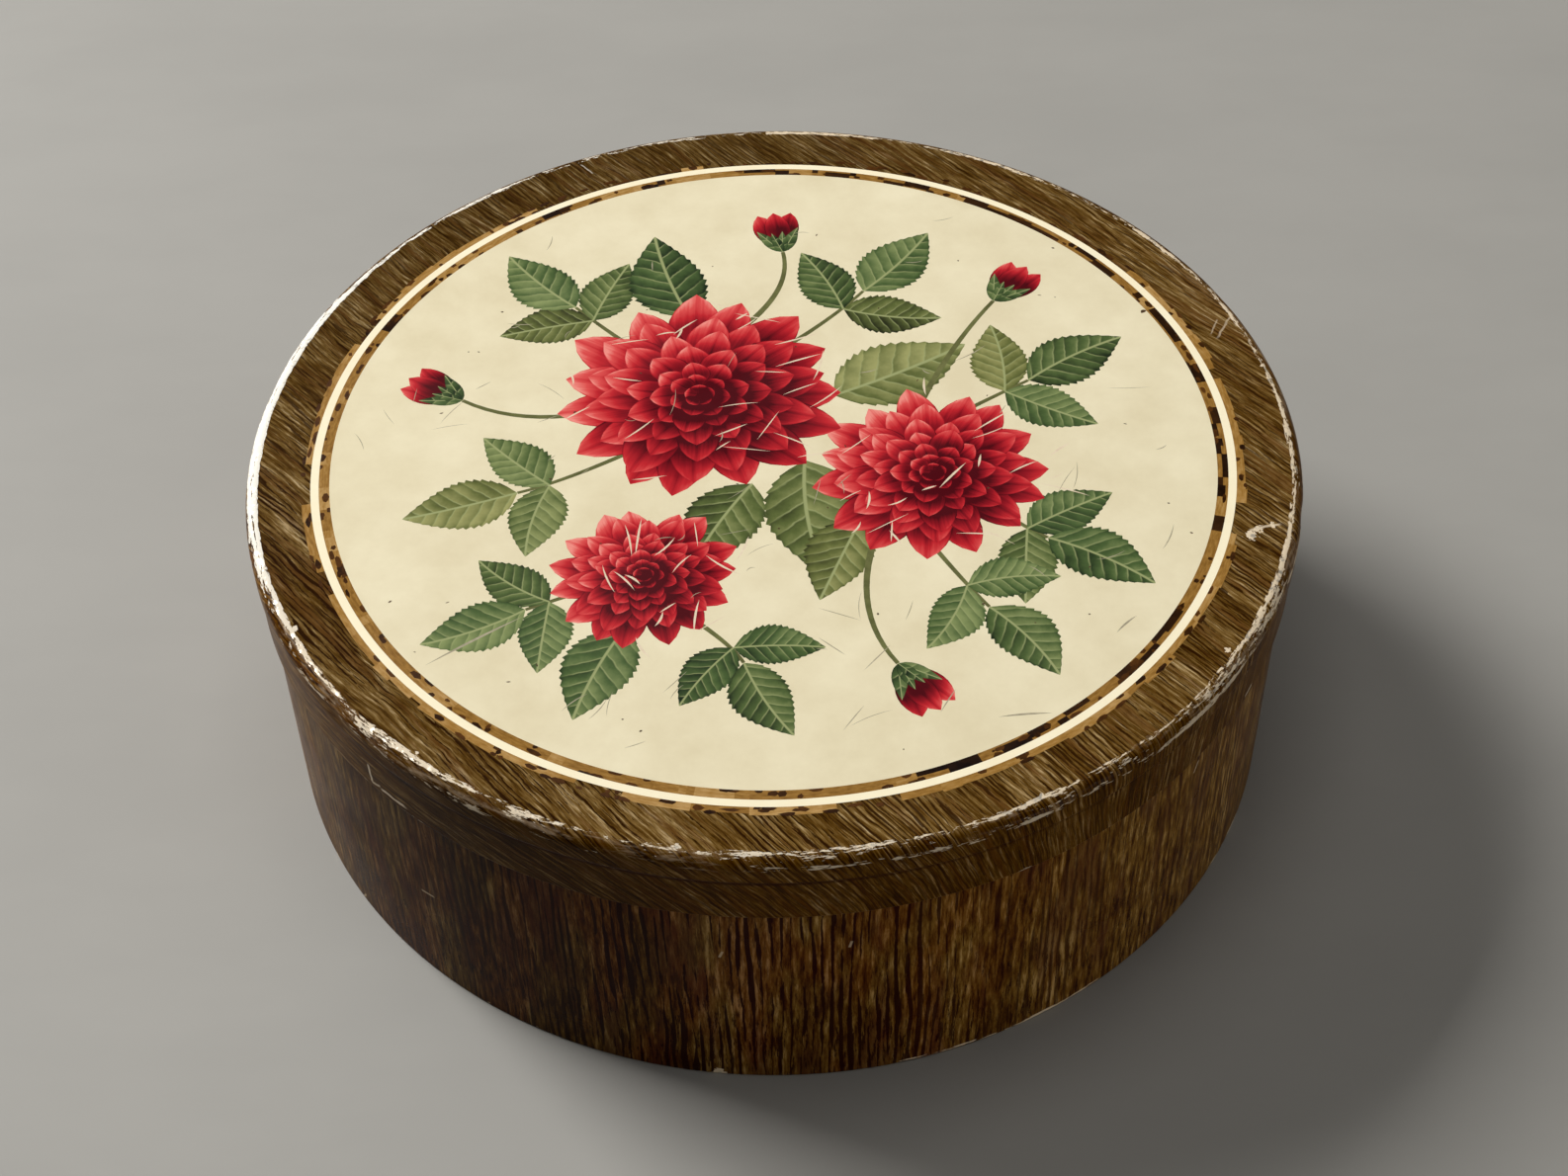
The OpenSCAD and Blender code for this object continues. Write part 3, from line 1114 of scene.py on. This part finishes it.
def blade_place(n, power, fullness):
    """Where a point lies on its leaf or petal.

    Gives the distance along it, the distance off its midrib, which side of the midrib it is on, 0 or 1, and
    how near it is to the margin, from 0 to 1.
    """
    u, v, _ = n.attribute("ink_uv")
    bend, left, right = n.attribute("ink_shape")
    middle = n.times(bend, 4, u, n.minus(1, u))
    off = n.minus(v, middle)
    side = n.math("GREATER_THAN", off, 0)
    half = n.add(right, n.times(side, n.minus(left, right)))
    swell = n.math("SINE", n.times(n.math("POWER", n.most(u, 0.001), power), pi))
    width = n.times(half, n.math("POWER", n.most(swell, 0.001), fullness))
    reach = n.math("ABSOLUTE", off)
    margin = n.math("DIVIDE", reach, n.most(width, 0.004), clamp=True)
    return u, reach, side, margin


def patch_place(n, seed):
    """The place on the panel, moved by the patch's own seed."""
    return n.vector("ADD", n.position(), n.join(seed, seed, seed))


def leaf_ink(name, veins):
    """Green leaf: a pale midrib, veins pairs of side veins, and shaded panels between them."""
    n = Nodes(name)
    u, reach, side, margin = blade_place(n, *LEAF_FORM)
    light, hue, seed = n.attribute("ink_tone")
    at = patch_place(n, seed)
    wash = n.noise(at, 0.16, 4, 0.65)
    wobble = n.times(n.noise(at, 0.3, 2), 0.06)
    phase = n.times(n.add(u, wobble, n.times(reach, -0.75), n.times(side, 0.05)), float(veins))
    panel = n.math("FRACT", phase)
    off_vein = n.math("ABSOLUTE", n.minus(n.math("FRACT", n.add(phase, 0.5)), 0.5))
    vein = n.times(n.between(off_vein, 0.02, 0.10, 1, 0), n.between(margin, 0.35, 0.95, 0.75, 0.1))
    rib = n.between(reach, 0.006, 0.016, 1, 0)
    tone = n.add(
        n.times(panel, 0.34),
        n.times(side, 0.17),
        n.times(light, 0.7),
        n.times(wash, 0.85),
        n.between(margin, 0.8, 1, 0, -0.16),
        -0.62,
    )
    stops = (0.05, 0.45, 0.95)
    green = n.ramp(tone, *zip(stops, inks((28, 42, 24), (74, 94, 52), (136, 148, 94))))
    warm = n.ramp(tone, *zip(stops, inks((52, 48, 22), (112, 112, 58), (172, 164, 104))))
    colour = n.mix(n.between(hue, 0.55, 1.1, 0, 0.75), green, warm)
    colour = n.mix(n.most(n.times(vein, 0.75), n.times(rib, 0.9)), colour, display(158, 164, 112))
    return lacquer(n, colour)


def petal_ink():
    """Red petal: dark where it goes under the next row, paler towards its tip, with a soft fold."""
    n = Nodes("petal_ink")
    u, reach, side, margin = blade_place(n, *PETAL_FORM)
    light, row, seed = n.attribute("ink_tone")
    streaks = n.noise(n.join(n.times(u, 2), n.times(reach, 45), seed), 1, 3, 0.6)
    wash = n.noise(patch_place(n, seed), 0.22, 3)
    tone = n.add(
        n.between(u, 0.5, 0.97, -0.1, 0.62),
        n.times(light, 0.75),
        n.times(streaks, 0.3),
        n.times(wash, 0.3),
        n.times(side, 0.08),
        n.times(row, -0.18),
        n.between(reach, 0, 0.05, -0.14, 0),
        n.between(margin, 0.55, 0.88, 0, 0.12),
        n.between(margin, 0.9, 0.99, 0, -0.3),
        -0.56,
    )
    reds = inks((76, 6, 16), (140, 18, 30), (190, 36, 44), (218, 78, 76), (238, 142, 130))
    colour = n.ramp(tone, *zip((0, 0.3, 0.55, 0.8, 1), reds))
    return lacquer(n, colour)


def plain_ink(name, light, dark, size=6, roughness=0.34):
    """One ink that varies a little between two tones, over patches of about that size."""
    n = Nodes(name)
    tone, _, seed = n.attribute("ink_tone")
    at = patch_place(n, seed)
    blots = n.noise(at, 1 / size, 5, 0.65)
    level = n.add(n.times(blots, 1.2), n.times(tone, 0.6), -0.4)
    return lacquer(n, n.ramp(level, *zip((0.1, 0.9), inks(dark, light))), roughness)


def gold_ink():
    """Gold brown inlay wood, mottled along the ring."""
    n = Nodes("gold_ink")
    tone, _, seed = n.attribute("ink_tone")
    x, y, _ = n.parts(n.position())
    inlaid = n.join(n.times(n.math("ARCTAN2", y, x), CREAM_R), n.vector("LENGTH", n.join(x, y)), seed)
    grain = n.noise(inlaid, (0.5, 2), 3, 0.6)
    level = n.add(n.times(grain, 1.2), n.times(tone, 0.5), -0.35)
    colour = n.ramp(level, *zip((0.1, 0.5, 0.9), inks((116, 78, 26), (156, 115, 54), (186, 148, 92))))
    return lacquer(n, colour)


def panel_inks():
    return {
        "gold": gold_ink(),
        "burr": plain_ink("burr_ink", (56, 32, 10), (14, 3, 0), 2.5),
        "fleck": plain_ink("fleck_ink", (88, 52, 16), (32, 12, 0), 1.5),
        "white": plain_ink("white_ink", (255, 247, 216), (250, 236, 200), 8),
        "cream": plain_ink("cream_ink", (245, 235, 202), (224, 211, 175), 14),
        "stem": plain_ink("stem_ink", (126, 128, 78), (66, 66, 36), 4),
        "leaf": leaf_ink("leaf_ink", 8),
        "sepal": leaf_ink("sepal_ink", 3),
        "petal": petal_ink(),
        "scratch": plain_ink("scratch_ink", (238, 224, 196), (214, 190, 160), 1, 0.5),
        "scuff": plain_ink("scuff_ink", (186, 176, 148), (140, 131, 108), 1, 0.5),
        "speck": plain_ink("speck_ink", (96, 72, 48), (52, 36, 24), 1, 0.5),
    }


# Floor, light and camera


def make_floor():
    mesh = bpy.data.meshes.new("floor")
    mesh.from_pydata([(-3, -3, 0), (3, -3, 0), (3, 3, 0), (-3, 3, 0)], [], [(0, 1, 2, 3)])
    floor = new_object("floor", mesh)
    n = Nodes("floor")
    cloud = n.noise(n.position(), (0.01, 0.02, 0.01), 4, 0.6)
    colour = n.shade(display(160, 157, 150), n.between(cloud, 0.3, 0.7, 0.94, 1))
    mesh.materials.append(n.surface(colour, 0.7))


def make_light(name, at, target, size, power):
    data = bpy.data.lights.new(name, "AREA")
    data.shape = "RECTANGLE"
    data.size, data.size_y = size
    data.energy = power
    light = new_object(name, data)
    light.location = at
    light.rotation_euler = (Vector(target) - Vector(at)).to_track_quat("-Z", "Y").to_euler()


def make_world():
    world = bpy.data.worlds.new("studio")
    world.use_nodes = True
    background = world.node_tree.nodes["Background"]
    background.inputs["Color"].default_value = (1, 0.98, 0.95, 1)
    background.inputs["Strength"].default_value = 0.06
    bpy.context.scene.world = world


def make_camera():
    """A camera at the photograph's viewing angle: raised, aimed near the lid's centre, a little rolled."""
    distance = 0.490
    raised = radians(43.33)
    pan, tilt, roll = 0.0028, -0.0563, 0.0238
    data = bpy.data.cameras.new("camera")
    data.sensor_width = 36
    data.lens = 59
    camera = new_object("camera", data)
    place = Matrix.Translation((0, -distance * cos(raised), TOP_Z * MM + distance * sin(raised)))
    aim = Matrix.Identity(4)
    for axis, angle in (("X", pi / 2 - raised), ("Y", -pan), ("X", tilt), ("Z", -roll)):
        aim @= Matrix.Rotation(angle, 4, axis)
    camera.matrix_world = place @ aim
    bpy.context.scene.camera = camera


bpy.context.scene.view_settings.view_transform = "Standard"
bare = bare_sheet()
make_lid([lid_print(), bare])
make_wall([wall_print(), bare])
make_bottom(bare)
make_panel(panel_inks())
make_floor()
make_light("key", (-2.7, 1.89, 2.93), (0, 0, 0.05), (1.71, 1.71), 207)
make_light("overhead", (0, 0, 1.4), (0, 0, 0.05), (0.7, 0.7), 3.5)
make_light("window", (-0.95, 0.8, 0.4), (0, 0, 0.05), (0.35, 0.45), 5)
make_light("fill", (1, -0.9, 0.22), (0, 0, 0.04), (0.6, 0.35), 3)
make_world()
make_camera()
